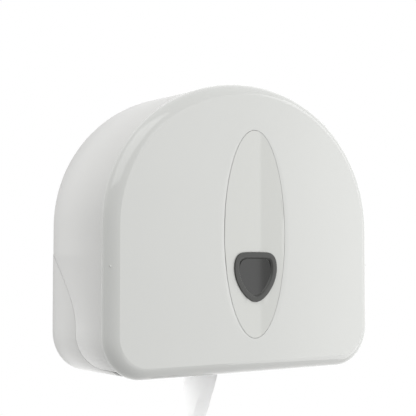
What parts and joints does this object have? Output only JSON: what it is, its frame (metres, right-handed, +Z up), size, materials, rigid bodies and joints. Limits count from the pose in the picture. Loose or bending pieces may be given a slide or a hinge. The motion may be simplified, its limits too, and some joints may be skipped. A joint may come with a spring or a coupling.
{
  "type": "jumbo toilet roll dispenser",
  "caption": "Wall-mounted dome-fronted dispenser for one jumbo toilet roll, with a hinged lockable cover and an oval inlay with a small shield-shaped window.",
  "frame": {"origin": "centre of the pattern of wall holes, on the wall plane, which is also the axis of the roll's spindle", "axes": "+X to the right seen from the front, +Y into the wall, +Z up; the front faces -Y"},
  "size_m": [0.365, 0.1306, 0.425],
  "materials": {
    "gloss_white": "polished",
    "satin_white": "satin",
    "inlay_white": "polished",
    "smoke_grey": "satin",
    "inner_grey": "moulded",
    "adapter_grey": "moulded",
    "steel": "zinc plated",
    "stainless": "ground",
    "washer_black": "matt",
    "tissue": "soft tissue paper",
    "cardboard": "raw cardboard"
  },
  "bodies": {
    "housing": {"back_plate": "satin_white", "lower_housing": "satin_white", "housing_screws": "steel", "spindle_axle": "steel", "brake_washer": "washer_black", "axle_washer": "steel", "axle_screw": "steel", "tear_blade_left": "stainless", "tear_blade_right": "stainless", "blade_screws": "steel", "latch_keeper": "steel", "keeper_screws": "steel", "hinge_pins": "steel", "paper_tail": "tissue"},
    "roll": {"core_adapter": "adapter_grey", "cardboard_core": "cardboard", "paper_roll": "tissue"},
    "cover": {"cover_shell": "satin_white", "front_panel": "gloss_white", "panel_screws": "steel", "inlay_panel": "inlay_white", "window_lens": "smoke_grey", "window_retainer": "inner_grey", "lock_housing": "inner_grey"},
    "lock": {"lock_barrel": "stainless", "lock_cam": "steel", "cam_screw": "steel"}
  },
  "joints": [
    {"name": "cover_hinge", "type": "hinge", "parent": "housing", "child": "cover", "pos_m": [0, -0.102, -0.1485], "axis": [1, 0, 0], "range_deg": [0, 90]},
    {"name": "roll_spin", "type": "hinge", "parent": "housing", "child": "roll", "pos_m": [0, -0.05, 0], "axis": [0, 1, 0], "continuous": true},
    {"name": "lock_turn", "type": "hinge", "parent": "cover", "child": "lock", "pos_m": [0, -0.038, 0.15], "axis": [0, 0, -1], "range_deg": [0, 90]}
  ]
}
